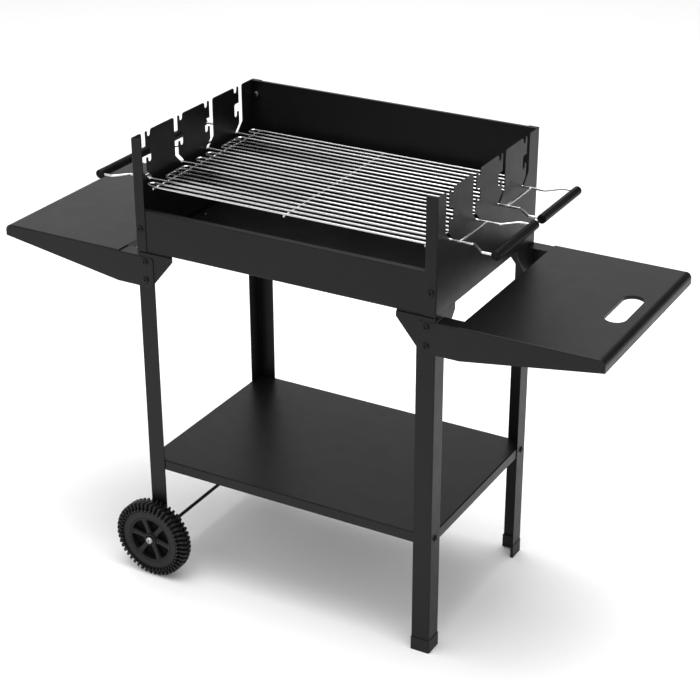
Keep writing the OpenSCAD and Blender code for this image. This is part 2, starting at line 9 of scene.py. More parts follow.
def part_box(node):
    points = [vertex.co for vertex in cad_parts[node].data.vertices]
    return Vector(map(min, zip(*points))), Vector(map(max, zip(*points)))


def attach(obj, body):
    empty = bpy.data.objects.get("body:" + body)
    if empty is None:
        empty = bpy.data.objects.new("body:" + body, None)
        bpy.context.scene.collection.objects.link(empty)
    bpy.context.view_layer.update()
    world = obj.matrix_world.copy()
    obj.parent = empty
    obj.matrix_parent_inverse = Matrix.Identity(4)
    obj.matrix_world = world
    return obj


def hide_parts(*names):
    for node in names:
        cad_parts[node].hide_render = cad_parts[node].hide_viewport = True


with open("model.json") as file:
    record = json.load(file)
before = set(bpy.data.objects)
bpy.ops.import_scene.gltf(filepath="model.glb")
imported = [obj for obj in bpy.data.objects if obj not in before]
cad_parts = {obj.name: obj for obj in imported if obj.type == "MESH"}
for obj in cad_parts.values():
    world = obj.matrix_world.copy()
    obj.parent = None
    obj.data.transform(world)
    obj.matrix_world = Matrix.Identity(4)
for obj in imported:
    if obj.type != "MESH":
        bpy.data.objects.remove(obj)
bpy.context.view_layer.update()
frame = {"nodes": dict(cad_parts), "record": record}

TAU = 2 * math.pi
MM = 0.001

# ---- camera, floor and light -------------------------------------------------

CAMERA_TARGET = Vector((-0.0585, 0.1502, 0.3785))
CAMERA_DISTANCE = 3.430
CAMERA_AZIMUTH = math.radians(29.32)
CAMERA_ELEVATION = math.radians(25.91)
CAMERA_ROLL = math.radians(-0.12)
CAMERA_LENS = 89.75
CAMERA_SENSOR = 36
CAMERA_REACH = 60

SURROUND_STRENGTH = 0.96
FLAG_WAY = (0.45, 0.77, 0.47)       # from the object towards the dark flag
FLAG_LEVEL = 0.1                    # brightness of its darkest part, as a share of the surround's
FLAG_STARTS, FLAG_FULL = 0.68, 0.93     # cosines of the angles from its middle where it starts and is darkest
LAMP_PLACE = (0.2, 0.1, 3.8)
LAMP_SIZE = (3.2, 3.2)
LAMP_POWER = 150
FLOOR_HALF = 15


def aim(obj, place, target, roll=0.0):
    """Puts obj at place, looking at target."""
    turn = (target - place).to_track_quat("-Z", "Y").to_matrix().to_4x4()
    obj.matrix_world = Matrix.Translation(place) @ turn @ Matrix.Rotation(roll, 4, "Z")


def add_camera():
    data = bpy.data.cameras.new("camera")
    data.lens = CAMERA_LENS
    data.sensor_width = CAMERA_SENSOR
    data.clip_end = CAMERA_REACH
    cam = bpy.data.objects.new("camera", data)
    bpy.context.scene.collection.objects.link(cam)
    away = Vector((math.sin(CAMERA_AZIMUTH) * math.cos(CAMERA_ELEVATION),
                   -math.cos(CAMERA_AZIMUTH) * math.cos(CAMERA_ELEVATION),
                   math.sin(CAMERA_ELEVATION)))
    aim(cam, CAMERA_TARGET + away * CAMERA_DISTANCE, CAMERA_TARGET, CAMERA_ROLL)
    bpy.context.scene.camera = cam


def add_area(name, place, target, size, power):
    data = bpy.data.lights.new(name, "AREA")
    data.shape = "RECTANGLE"
    data.size, data.size_y = size
    data.energy = power
    lamp = bpy.data.objects.new(name, data)
    bpy.context.scene.collection.objects.link(lamp)
    aim(lamp, Vector(place), Vector(target))


def add_world():
    """A white surround with one soft-edged dark flag as the light, and plain white as the backdrop."""
    world = bpy.data.worlds.new("studio")
    world.use_nodes = True
    tree = world.node_tree
    way = tree.nodes.new("ShaderNodeTexCoord").outputs["Generated"]
    dot = tree.nodes.new("ShaderNodeVectorMath")
    dot.operation = "DOT_PRODUCT"
    dot.inputs[1].default_value = Vector(FLAG_WAY).normalized()
    level = tree.nodes.new("ShaderNodeMapRange")
    level.interpolation_type = "SMOOTHSTEP"
    limits = {"From Min": FLAG_STARTS, "From Max": FLAG_FULL, "To Min": 1.0, "To Max": FLAG_LEVEL}
    for socket, value in limits.items():
        level.inputs[socket].default_value = value
    surround = tree.nodes["Background"]
    surround.inputs["Strength"].default_value = SURROUND_STRENGTH
    tree.links.new(way, dot.inputs[0])
    tree.links.new(dot.outputs["Value"], level.inputs["Value"])
    tree.links.new(level.outputs["Result"], surround.inputs["Color"])
    backdrop = tree.nodes.new("ShaderNodeBackground")
    backdrop.inputs["Color"].default_value = (1.0, 1.0, 1.0, 1.0)
    seen = tree.nodes.new("ShaderNodeLightPath").outputs["Is Camera Ray"]
    choice = tree.nodes.new("ShaderNodeMixShader")
    tree.links.new(seen, choice.inputs["Fac"])
    tree.links.new(surround.outputs["Background"], choice.inputs[1])
    tree.links.new(backdrop.outputs["Background"], choice.inputs[2])
    tree.links.new(choice.outputs["Shader"], tree.nodes["World Output"].inputs["Surface"])
    bpy.context.scene.world = world


def add_floor():
    half = FLOOR_HALF
    mesh = bpy.data.meshes.new("floor")
    corners = [(-half, -half, 0), (half, -half, 0), (half, half, 0), (-half, half, 0)]
    mesh.from_pydata(corners, [], [[0, 1, 2, 3]])
    mesh.materials.append(floor_paint())
    floor = bpy.data.objects.new("floor", mesh)
    bpy.context.scene.collection.objects.link(floor)


# ---- node materials ----------------------------------------------------------


class Nodes:
    """Builds one material's node tree around its Principled shader."""

    def __init__(self, name, **sockets):
        self.material = bpy.data.materials.new(name)
        self.material.use_nodes = True
        self.tree = self.material.node_tree
        self.shader = self.tree.nodes["Principled BSDF"]
        for socket, value in sockets.items():
            self.shader.inputs[socket.replace("_", " ")].default_value = value
        self.place = self.add("ShaderNodeTexCoord").outputs["Object"]

    def add(self, kind, **values):
        node = self.tree.nodes.new(kind)
        for key, value in values.items():
            setattr(node, key, value)
        return node

    def link(self, source, target):
        self.tree.links.new(source, target)

    def noise(self, scale, detail=2.0, roughness=0.5, stretch=None):
        """A noise over the piece, scale in cycles per metre."""
        node = self.add("ShaderNodeTexNoise")
        node.inputs["Scale"].default_value = scale
        node.inputs["Detail"].default_value = detail
        node.inputs["Roughness"].default_value = roughness
        place = self.place
        if stretch:
            mapping = self.add("ShaderNodeMapping")
            mapping.inputs["Scale"].default_value = stretch
            self.link(place, mapping.inputs["Vector"])
            place = mapping.outputs["Vector"]
        self.link(place, node.inputs["Vector"])
        return node.outputs["Fac"]

    def ramp(self, source, low, high, out_low=0.0, out_high=1.0):
        """Maps low to high onto out_low to out_high, clamped at both ends."""
        node = self.add("ShaderNodeMapRange")
        limits = {"From Min": low, "From Max": high, "To Min": out_low, "To Max": out_high}
        for socket, value in limits.items():
            node.inputs[socket].default_value = value
        self.link(source, node.inputs["Value"])
        return node.outputs["Result"]

    def mix(self, factor, first, second):
        """Mixes two colours, each an RGB tuple or a colour output."""
        node = self.add("ShaderNodeMix", data_type="RGBA")
        self.link(factor, node.inputs["Factor"])
        for socket, value in ((node.inputs[6], first), (node.inputs[7], second)):
            if isinstance(value, tuple):
                socket.default_value = (*value, 1)
            else:
                self.link(value, socket)
        return node.outputs[2]

    def maths(self, operation, first, second):
        node = self.add("ShaderNodeMath", operation=operation)
        for socket, value in zip(node.inputs, (first, second)):
            if isinstance(value, (int, float)):
                socket.default_value = value
            else:
                self.link(value, socket)
        return node.outputs["Value"]

    def bump(self, height, depth, strength=1.0, below=None):
        node = self.add("ShaderNodeBump")
        node.inputs["Distance"].default_value = depth
        node.inputs["Strength"].default_value = strength
        self.link(height, node.inputs["Height"])
        if below:
            self.link(below, node.inputs["Normal"])
        return node.outputs["Normal"]

    def edges(self, radius):
        """The rounded normal of a coated edge, and a mask that is 1 on the edge."""
        bevel = self.add("ShaderNodeBevel")
        bevel.samples = 4
        bevel.inputs["Radius"].default_value = radius
        flat = self.add("ShaderNodeNewGeometry").outputs["Normal"]
        dot = self.add("ShaderNodeVectorMath", operation="DOT_PRODUCT")
        self.link(bevel.outputs["Normal"], dot.inputs[0])
        self.link(flat, dot.inputs[1])
        return bevel.outputs["Normal"], self.ramp(dot.outputs["Value"], 0.99, 0.86)

    def finish(self, color=None, rough=None, normal=None):
        for socket, value in (("Base Color", color), ("Roughness", rough), ("Normal", normal)):
            if value is not None:
                self.link(value, self.shader.inputs[socket])
        return self.material


def grey(value, tint=(1.0, 1.0, 1.02)):
    return tuple(value * t for t in tint)


def powder_coat(name, value, rough, peel=1.0, heat=0.0, shine=0.198):
    """Satin powder coat on steel: orange peel, faint flecks, cloudy gloss and thinner paint on the edges."""
    n = Nodes(name, Specular_IOR_Level=shine)
    clouds = n.noise(9, 3)
    flecks = n.ramp(n.noise(2600, 1), 0.66, 0.74)
    base = n.mix(n.ramp(clouds, 0.3, 0.7), grey(value * 0.86), grey(value * 1.14))
    base = n.mix(n.maths("MULTIPLY", flecks, 0.55), base, grey(value * 2.6))
    rounded, edge = n.edges(0.8 * MM)
    worn = n.maths("MULTIPLY", edge, n.ramp(n.noise(60, 4), 0.35, 0.65, 0.25, 1.0))
    base = n.mix(n.maths("MULTIPLY", worn, 0.6), base, grey(value * 2.2 + 0.012))
    if heat:
        soot = n.ramp(n.noise(14, 5, 0.62), 0.42, 0.62)
        base = n.mix(n.maths("MULTIPLY", soot, heat), base, grey(value * 0.35, (1.05, 1.0, 0.95)))
    gloss = n.ramp(n.noise(34, 4, 0.55), 0.25, 0.75, rough - 0.03, rough + 0.04)
    gloss = n.maths("SUBTRACT", gloss, n.maths("MULTIPLY", worn, 0.08))
    height = n.maths("ADD", n.noise(620, 2), n.maths("MULTIPLY", n.noise(2300, 2), 0.45))
    return n.finish(base, gloss, n.bump(height, 0.10 * MM * peel, 0.55, rounded))


def chrome_wire(name):
    """Bright chrome plate over drawn wire, with fine drawing lines and a few dull spots."""
    n = Nodes(name, Metallic=1.0)
    dull = n.ramp(n.noise(220, 4, 0.6), 0.5, 0.75)
    base = n.mix(dull, (0.62, 0.62, 0.63), (0.47, 0.465, 0.46))
    rough = n.ramp(n.noise(900, 3), 0.2, 0.8, 0.16, 0.30)
    lines = n.noise(1400, 2, 0.5, (0.04, 1, 1))
    return n.finish(base, rough, n.bump(lines, 0.04 * MM, 0.5))


def zinc(name):
    """Zinc-plated steel with a cloudy passivated tint."""
    n = Nodes(name, Metallic=1.0)
    tint = n.ramp(n.noise(260, 3, 0.6), 0.3, 0.7)
    base = n.mix(tint, (0.40, 0.41, 0.43), (0.52, 0.51, 0.48))
    rounded, edge = n.edges(0.35 * MM)
    base = n.mix(n.maths("MULTIPLY", edge, 0.5), base, (0.66, 0.66, 0.66))
    rough = n.ramp(n.noise(700, 4), 0.2, 0.8, 0.20, 0.34)
    return n.finish(base, rough, n.bump(n.noise(1900, 3), 0.03 * MM, 0.6, rounded))


def plastic(name, value, rough, grain, depth, shine=0.22):
    """Moulded black plastic with a fine spark-eroded grain, paler where it has been rubbed."""
    n = Nodes(name, Specular_IOR_Level=shine)
    rounded, edge = n.edges(0.5 * MM)
    rub = n.maths("MULTIPLY", edge, n.ramp(n.noise(90, 4), 0.35, 0.7))
    base = n.mix(n.ramp(n.noise(40, 4), 0.3, 0.7), grey(value * 0.85), grey(value * 1.2))
    base = n.mix(n.maths("MULTIPLY", rub, 0.7), base, grey(value * 2.4 + 0.01))
    gloss = n.ramp(n.noise(grain * 0.1, 3), 0.25, 0.75, rough - 0.07, rough + 0.07)
    height = n.maths("ADD", n.noise(grain, 3, 0.6), n.maths("MULTIPLY", n.noise(grain * 3.1, 2), 0.4))
    return n.finish(base, gloss, n.bump(height, depth, 0.6, rounded))


def floor_paint():
    n = Nodes("studio_floor", Roughness=0.85)
    n.shader.inputs["Specular IOR Level"].default_value = 0.15
    return n.finish(n.mix(n.ramp(n.noise(0.8, 2), 0.3, 0.7), (0.95, 0.95, 0.95), (0.965, 0.965, 0.965)))


MATERIALS = {
    "panels": powder_coat("panel_coat", 0.0040, rough=0.39),
    "legs": powder_coat("leg_coat", 0.0042, rough=0.41),
    "shelves": powder_coat("shelf_coat", 0.0042, rough=0.36, peel=1.1, shine=0.205),
    "firebox_inside": powder_coat("firebox_coat", 0.0020, rough=0.42, peel=1.4, heat=0.7, shine=0.16),
    "black_bolts": powder_coat("bolt_black", 0.0025, rough=0.24, peel=0.4, shine=0.17),
    "axle_steel": powder_coat("axle_coat", 0.004, rough=0.38, peel=0.6, shine=0.2),
    "zinc_hardware": zinc("bright_zinc"),
    "chromed_wire": chrome_wire("chrome_plate"),
    "grips": plastic("grip_plastic", 0.0025, rough=0.40, grain=1500, depth=0.04 * MM, shine=0.10),
    "wheels": plastic("wheel_plastic", 0.006, rough=0.46, grain=900, depth=0.07 * MM, shine=0.23),
    # painted shade: a darker, duller copy of the wheel plastic for the wheel's recesses, not a different
    # plastic
    "wheel_recess": plastic("recess_plastic_painted_shade", 0.0015, rough=0.60, grain=900, depth=0.07 * MM, shine=0.07),
    "feet": plastic("foot_plastic", 0.006, rough=0.52, grain=1100, depth=0.07 * MM),
}

# ---- mesh building -----------------------------------------------------------


class Mesh:
    """Collects points and faces, then becomes one object in the shared frame."""

    def __init__(self):
        self.points = []
        self.faces = []

    def add(self, points, faces):
        start = len(self.points)
        self.points += [Vector(p) for p in points]
        self.faces += [[start + i for i in face] for face in faces]

    def merge(self, other, matrix):
        self.add([matrix @ p for p in other.points], other.faces)

    def grid(self, rows, wrap=True, close=False):
        """Joins rows of points with quads.

        wrap joins each row's two ends, and close joins the last row to the first.
        """
        width = len(rows[0])
        count = len(rows)
        faces = []
        for i in range(count if close else count - 1):
            for j in range(width if wrap else width - 1):
                a, b = i * width + j, i * width + (j + 1) % width
                c, d = (i + 1) % count * width + (j + 1) % width, (i + 1) % count * width + j
                faces.append([a, b, c, d])
        self.add([p for row in rows for p in row], faces)

    def lathe(self, profile, steps=64, closed=False):
        """Turns a profile of (radius, height) about Z. Points on the axis close the ends."""
        rows = [[(r * math.cos(TAU * j / steps), r * math.sin(TAU * j / steps), z) for j in range(steps)]
                for r, z in profile]
        self.grid(rows, close=closed)

    def build(self, name, material, body, smooth_angle=35):
        """Makes the object, gives it its material and slot, and lets it ride on its body."""
        mesh = bpy.data.meshes.new(name)
        mesh.from_pydata([tuple(p) for p in self.points], [], self.faces)
        mesh.materials.append(MATERIALS[material])
        obj = bpy.data.objects.new(name, mesh)
        bpy.context.scene.collection.objects.link(obj)
        tidy_mesh(mesh, smooth_angle)
        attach(obj, body)
        return obj


def tidy_mesh(mesh, smooth_angle):
    """Welds doubled points, turns faces outwards and shades smooth below an angle."""
    bm = bmesh.new()
    bm.from_mesh(mesh)
    bmesh.ops.remove_doubles(bm, verts=bm.verts, dist=1e-6)
    bmesh.ops.dissolve_degenerate(bm, edges=bm.edges, dist=1e-7)
    bmesh.ops.recalc_face_normals(bm, faces=bm.faces)
    limit = math.radians(smooth_angle)
    for face in bm.faces:
        face.smooth = True
    for edge in bm.edges:
        edge.smooth = len(edge.link_faces) != 2 or edge.calc_face_angle(0.0) < limit
    bm.to_mesh(mesh)
    bm.free()


def rounded_path(corners, radius, steps=7, closed=False):
    """A path through corners, with each bend rounded."""
    corners = [Vector(c) for c in corners]
    count = len(corners)
    path = []
    for i, corner in enumerate(corners):
        if not closed and i in (0, count - 1):
            path.append(corner)
            continue
        back = corners[i - 1] - corner
        ahead = corners[(i + 1) % count] - corner
        half = back.angle(ahead) / 2
        reach = min(radius / math.tan(half), back.length * 0.49, ahead.length * 0.49)
        first = corner + back.normalized() * reach
        last = corner + ahead.normalized() * reach
        centre = corner + (back.normalized() + ahead.normalized()).normalized() * (reach / math.cos(half))
        size = (first - centre).length
        start, stop = (first - centre).normalized(), (last - centre).normalized()
        path += [centre + size * start.slerp(stop, k / steps) for k in range(steps + 1)]
    return path


DOME = 0.45     # height of a wire's domed end, as a share of its radius


def tube(mesh, path, radius, closed=False, sides=14):
    """Sweeps a round wire along a path, with domed ends."""
    count = len(path)
    tangents = []
    for i in range(count):
        before = path[i - 1] if closed or i else path[i]
        after = path[(i + 1) % count] if closed or i < count - 1 else path[i]
        tangents.append((after - before).normalized())
    across = tangents[0].orthogonal().normalized()
    rows = []
    for point, tangent in zip(path, tangents):
        across = (across - tangent * across.dot(tangent)).normalized()
        up = tangent.cross(across)
        rows.append([point + radius * (math.cos(TAU * j / sides) * across + math.sin(TAU * j / sides) * up)
                     for j in range(sides)])
    if closed:
        mesh.grid(rows, close=True)
        return
    domed = []
    for end, tangent, rim in ((path[0], -tangents[0], rows[0]), (path[-1], tangents[-1], rows[-1])):
        domed.append([[end + tangent * radius * DOME * math.sin(a) + (p - end) * math.cos(a) for p in rim]
                      for a in (math.pi / 2, math.pi / 3, math.pi / 6)])
    mesh.grid(domed[0] + rows + list(reversed(domed[1])))


def blob(mesh, centre, size):
    """A small weld bead, with its half sizes along X, Y and Z."""
    bands = 5
    sides = 8
    rows = []
    for i in range(bands + 1):
        polar = math.pi * i / bands
        rows.append([centre + Vector((size[0] * math.sin(polar) * math.cos(TAU * j / sides),
                                      size[1] * math.sin(polar) * math.sin(TAU * j / sides),
                                      size[2] * math.cos(polar))) for j in range(sides)])
    mesh.grid(rows)


def corners_of(node):
    """A CAD node's lowest and highest corners at rest, as vectors."""
    low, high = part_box(node)
    return Vector(low), Vector(high)


def centre_of(node):
    low, high = corners_of(node)
    return (low + high) / 2


def islands(node):
    """The lowest and highest corners of each separate solid in a CAD node."""
    mesh = frame["nodes"][node].data
    spots = {}
    name_of = []
    for v in mesh.vertices:
        name_of.append(spots.setdefault(tuple(round(c, 6) for c in v.co), len(spots)))
    parent = list(range(len(spots)))

    def root(i):
        while parent[i] != i:
            parent[i] = parent[parent[i]]
            i = parent[i]
        return i

    for edge in mesh.edges:
        a, b = (root(name_of[i]) for i in edge.vertices)
        parent[a] = b
    groups = {}
    for spot, i in spots.items():
        groups.setdefault(root(i), []).append(Vector(spot))
    return [(Vector([min(p[k] for p in group) for k in range(3)]),
             Vector([max(p[k] for p in group) for k in range(3)])) for group in groups.values()]


# ---- grates and grips --------------------------------------------------------


RODS = 11                       # places across a grate, one wire pitch apart
LOOP_FIRSTS = (-5, 4)           # the outer loops fill the two outermost places on each side
RING_HALF = 2                   # the middle ring reaches this many pitches from the centre
RING_INSET = 3 * MM             # how far the ring stops short of the loops' ends
RING_BEND = 8 * MM
HANDLE_WIRE = 2.3 * MM          # radius of the handle wires
HANDLE_HALF = 3                 # pitches from the centre to each straight handle wire
HANDLE_STRAIGHT = 342 * MM      # where they start to spread
HANDLE_SPREAD = 24 * MM
HANDLE_BEND = 6 * MM
LINK_X = 315 * MM               # cross links outside the side panels
LINK_WIRE = HANDLE_WIRE * 0.87


def build_grate(side, body):
    """Replaces a grate's wires, bars, handles and grips with finished ones."""
    low, high = corners_of(f"{side}_grate_wires")
    centre = (low + high) / 2
    wire = (high.z - low.z) / 2
    pitch = (high.y - low.y - 2 * wire) / (RODS - 1)

    def at(x, y, z=0.0):
        return centre + Vector((x, y, z))

    build_cooking_wires(side, body, at, wire, pitch, high.x)
    build_bars(side, body, at, wire, pitch, centre.z)
    build_handles(side, body, at, pitch)
    for hand in ("left", "right"):
        build_grip(f"{side}_{hand}_grip", body)


def build_cooking_wires(side, body, at, wire, pitch, reach):
    """The two outer loops, the middle ring and the three rods inside it."""
    cooking = Mesh()
    for first in LOOP_FIRSTS:
        ends = [at(s * (reach - wire), (first + k) * pitch) for s, k in ((-1, 0), (1, 0), (1, 1), (-1, 1))]
        tube(cooking, rounded_path(ends, pitch / 2, 10, closed=True), wire, closed=True)
    ring_x = reach - RING_INSET - wire
    corners = [at(s * ring_x, k * RING_HALF * pitch) for s, k in ((-1, -1), (1, -1), (1, 1), (-1, 1))]
    tube(cooking, rounded_path(corners, RING_BEND, 7, closed=True), wire, closed=True)
    for k in (-1, 0, 1):
        tube(cooking, [at(-ring_x, k * pitch), at(0, k * pitch), at(ring_x, k * pitch)], wire)
        for s in (-1, 1):
            blob(cooking, at(s * (ring_x - wire * 0.6), k * pitch), (wire * 1.5, wire * 1.15, wire * 0.9))
    piece = cooking.build(f"{side}_cooking_wires", "chromed_wire", body)
    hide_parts(f"{side}_grate_wires")


def build_bars(side, body, at, wire, pitch, level):
    """The three cross bars under the rods, with a weld bead on both sides of each crossing."""
    low, high = corners_of(f"{side}_grate_bars")
    drop = (low.z + high.z) / 2 - level
    half = (high.y - low.y) / 2 - wire * 0.5
    bead = (wire * 0.6, wire * 0.55, wire * 0.5)
    bars = Mesh()
    for x in (low.x + wire, 0.0, high.x - wire):
        tube(bars, [at(x, -half, drop), at(x, 0, drop), at(x, half, drop)], wire)
        for k in range(RODS):
            for s in (-1, 1):
                blob(bars, at(x + s * wire * 0.62, (k - RODS // 2) * pitch, drop * 0.62), bead)
    piece = bars.build(f"{side}_cross_bars", "chromed_wire", body)
    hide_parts(f"{side}_grate_bars")


def build_handles(side, body, at, pitch):
    """One loop of wire that closes inside the grips, with a link across it at each end."""
    grip_x = centre_of(f"{side}_right_grip").x
    half = HANDLE_HALF * pitch
    wide = half + HANDLE_SPREAD
    line = [(HANDLE_STRAIGHT, -half), (HANDLE_STRAIGHT + HANDLE_SPREAD, -wide), (grip_x, -wide),
            (grip_x, wide), (HANDLE_STRAIGHT + HANDLE_SPREAD, wide), (HANDLE_STRAIGHT, half)]
    line += [(-x, y) for x, y in reversed(line)]
    loop = rounded_path([at(x, y) for x, y in line], HANDLE_BEND, 7, closed=True)
    bead = (HANDLE_WIRE * 0.8, HANDLE_WIRE * 1.15, HANDLE_WIRE * 0.8)
    handles = Mesh()
    tube(handles, loop, HANDLE_WIRE, closed=True)
    for x in (-LINK_X, LINK_X):
        tube(handles, [at(x, -half), at(x, 0), at(x, half)], LINK_WIRE)
        for k in (-1, 1):
            for beside in (-1, 1):
                blob(handles, at(x + beside * HANDLE_WIRE * 0.85, k * half), bead)
    piece = handles.build(f"{side}_handle_wires", "chromed_wire", body)
    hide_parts(f"{side}_grate_handles")


GRIP_FLUTES = 12
GRIP_STEPS = 120
GRIP_RADIUS = 8.2       # the outline below is in millimetres on a grip of this radius
# radius, distance from the end and depth of the flutes, from the end disc's middle over the rim to the flutes
GRIP_OUTLINE = [(0, 1.4, 0), (4.6, 1.4, 0), (5.4, 1.3, 0), (5.8, 0.7, 0), (6.2, 0.15, 0), (6.9, 0.0, 0),
                (7.6, 0.2, 0), (8.05, 0.7, 0), (8.2, 1.5, 0), (8.2, 8.0, 0), (8.0, 8.6, 0), (8.0, 9.4, 0),
                (8.2, 10.0, 0), (8.2, 12.0, 0), (8.2, 16.0, 0.55)]


def build_grip(node, body):
    """A moulded tube grip: rounded rims, sunk end discs, smooth collars and shallow flutes between them."""
    low, high = corners_of(node)
    middle = (low + high) / 2
    radius = (high.x - low.x) / 2
    half = (high.y - low.y) / 2
    profile = [(r * radius / GRIP_RADIUS, -half + z * MM, deep * MM) for r, z, deep in GRIP_OUTLINE]
    profile += [(r, -z, deep) for r, z, deep in reversed(profile)]
    rows = []
    for r, z, deep in profile:
        row = []
        for j in range(GRIP_STEPS):
            a = TAU * j / GRIP_STEPS
            reach = r - deep * (0.5 + 0.5 * math.cos(GRIP_FLUTES * a)) ** 2
            row.append(middle + Vector((reach * math.cos(a), z, reach * math.sin(a))))
        rows.append(row)
    mesh = Mesh()
    mesh.grid(rows)
    piece = mesh.build(f"{node}_tube", "grips", body, 40)
    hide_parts(node)


# ---- wheels ------------------------------------------------------------------

WHEEL_RADIUS = 78.5         # every size below is in millimetres on a wheel of this radius
LUGS = 48
SPOKES = 6
SPOKE_TURN = math.radians(51)
AXLE_PLAY = 0.08 * MM
# the upper halves of the turned profiles, as (radius, height) from the wheel's middle plane
SIDE_WALL = [(43.0, 0.0), (43.0, 11.4), (43.2, 12.4), (43.9, 13.1), (45.0, 13.4), (46.1, 13.4), (46.5, 12.5),
             (47.2, 12.5), (47.6, 13.4), (52.0, 13.8), (60.0, 13.8), (60.5, 12.7), (61.4, 12.6), (61.8, 13.4),
             (62.7, 13.3), (63.1, 12.6), (63.1, 0.0)]
TREAD_FLOOR = [(62.0, 0.0), (62.0, 11.9), (66.0, 11.8), (70.0, 11.3), (73.6, 9.8), (75.6, 7.2), (76.2, 3.6),
               (76.2, 0.0)]
WEB = [(10.0, 0.0), (10.0, 1.8), (41.5, 1.8), (43.6, 2.6), (43.6, 0.0)]
# radius, half width and half height along a spoke, and its cross section's upper half
SPOKE_STATIONS = [(10.5, 7.0, 10.6), (14.0, 6.0, 10.5), (18.0, 5.4, 10.2), (26.0, 5.2, 10.0),
                  (34.0, 5.4, 10.4), (39.0, 6.2, 11.0), (42.0, 7.6, 11.6), (43.8, 9.4, 12.0)]
SPOKE_SECTION = [(-1, 0.0), (-1, 0.62), (-0.93, 0.78), (-0.76, 0.91), (-0.45, 0.98), (0, 1.0), (0.45, 0.98),
                 (0.76, 0.91), (0.93, 0.78), (1, 0.62), (1, 0.0)]
# turn and width in lug steps, then radius, height and depth, from the tread's middle over the shoulder
LUG_STATIONS = [(0.00, 0.48, 78.5, 0.0, 5.0), (0.22, 0.48, 78.5, 4.5, 5.0), (0.42, 0.48, 78.5, 8.5, 5.2),
                (0.53, 0.47, 78.4, 11.2, 5.6), (0.56, 0.46, 77.4, 12.9, 5.4), (0.57, 0.46, 74.6, 13.8, 5.0),
                (0.57, 0.46, 70.6, 14.0, 4.4), (0.57, 0.46, 66.6, 14.0, 3.8), (0.57, 0.44, 63.0, 13.4, 3.0)]
# across in lug widths and depth as a share, with a small chamfer on both of the lug's edges
LUG_SECTION = [(-0.5, 1), (-0.5, 0.12), (-0.42, 0), (0.42, 0), (0.5, 0.12), (0.5, 1)]


def wheel_meshes(radius, hub_half, bore):
    """A moulded wheel about Z: its raised parts (walls, hub, spokes, lugs) and the recesses between them,
    kept apart so that the recesses can take painted shade.
    """
    raised = Mesh()
    # the tread floor and the web between the spokes, later coloured darker as painted shade
    sunk = Mesh()
    mm = radius / WHEEL_RADIUS
    ring(raised, SIDE_WALL, 200, mm)
    ring(sunk, TREAD_FLOOR, 160, mm)
    ring(sunk, WEB, 96, mm)
    top = hub_half / mm
    hub = [(bore / mm, 0.0), (bore / mm, top), (7.2, top), (7.4, top - 2.8), (9.5, top - 2.8),
           (9.9, top - 0.4), (10.3, top), (11.8, top), (12.6, top - 0.5), (13.0, top - 1.5), (13.0, 9.4),
           (13.6, 6.0), (15.0, 2.6), (15.0, 0.0)]
    ring(raised, hub, 64, mm)
    for i in range(SPOKES):
        spoke(raised, TAU * i / SPOKES + SPOKE_TURN, mm)
    for i in range(LUGS):
        for side in (-1, 1):
            lug(raised, TAU * i / LUGS, side, mm)
    return raised, sunk


def ring(mesh, upper, steps, mm):
    """A turned ring about Z, symmetrical about z = 0, from its upper half profile in millimetres."""
    profile = upper + [(r, -z) for r, z in reversed(upper[1:-1])]
    mesh.lathe([(r * mm, z * mm) for r, z in profile], steps, closed=True)


def capped_grid(mesh, rows):
    """Joins closed rows of points with quads, and closes the first and last row with a face each."""
    mesh.grid(rows)
    width = len(rows[0])
    last = len(mesh.points)
    mesh.faces.append([last - 1 - k for k in range(width)])
    mesh.faces.append([last - len(rows) * width + k for k in range(width)])


def spoke(mesh, angle, mm):
    """One rounded spoke that widens into the hub and the rim."""
    turn = Matrix.Rotation(angle, 4, "Z")
    section = SPOKE_SECTION + [(x, -z) for x, z in reversed(SPOKE_SECTION[1:-1])]
    rows = [[turn @ Vector((r * mm, x * half * mm, z * height * mm)) for x, z in section]
            for r, half, height in SPOKE_STATIONS]
    capped_grid(mesh, rows)


def lug(mesh, angle, side, mm):
    """Half of a chevron lug: from the middle of the tread over the shoulder and down the side wall."""
    tops = [Vector((r, z)) for _, _, r, z, _ in LUG_STATIONS]
    rows = []
    for i, (turn, width, r, z, deep) in enumerate(LUG_STATIONS):
        run = (tops[min(i + 1, len(tops) - 1)] - tops[max(i - 1, 0)]).normalized()
        inward = Vector((-run.y, run.x)) if i else Vector((-1, 0))
        if inward.x > 0 or (abs(inward.x) < 1e-6 and inward.y > 0):
            inward = -inward
        row = []
        for across, sink in LUG_SECTION:
            a = angle + (turn + across * width) * TAU / LUGS
            out = (r + inward.x * deep * sink) * mm
            up = (z + inward.y * deep * sink) * mm * side
            row.append((out * math.cos(a), out * math.sin(a), up))
        rows.append(row)
    capped_grid(mesh, rows)


def build_wheel(wheel):
    """Replaces one wheel with its moulding and its recesses, the recesses in a darker copy of the plastic as
    painted shade.
    """
    low, high = corners_of(wheel)
    axle_low, axle_high = corners_of("axle")
    bore = (axle_high.x - axle_low.x) / 2 + AXLE_PLAY
    shapes = wheel_meshes((high.z - low.z) / 2, (high.y - low.y) / 2, bore)
    place = Matrix.Translation((low + high) / 2) @ Matrix.Rotation(math.pi / 2, 4, "X")
    # the recesses take the darker wheel_recess plastic: painted shade in the grooves and between the spokes
    for shape, part, material in zip(shapes, ("moulding", "recesses"), ("wheels", "wheel_recess")):
        turned = Mesh()
        turned.merge(shape, place)
        piece = turned.build(f"{wheel}_{part}", material, wheel, 32)
        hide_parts(wheel)


# ---- fasteners ---------------------------------------------------------------


HEAD_HEIGHT = 3.2 * MM
BOLT_RADIUS = 3 * MM
THREAD_PITCH = 0.8 * MM
NUT_PLAY = 0.1 * MM
SOCKET = 0.44           # radius at the socket's corners, as a share of the head's
ROUND_STEPS = 48
HEX = math.pi / 3


def hex_reach(angle):
    """How far a hexagon with flats at distance 1 reaches at an angle."""
    return 1 / math.cos((angle + HEX / 2) % HEX - HEX / 2)


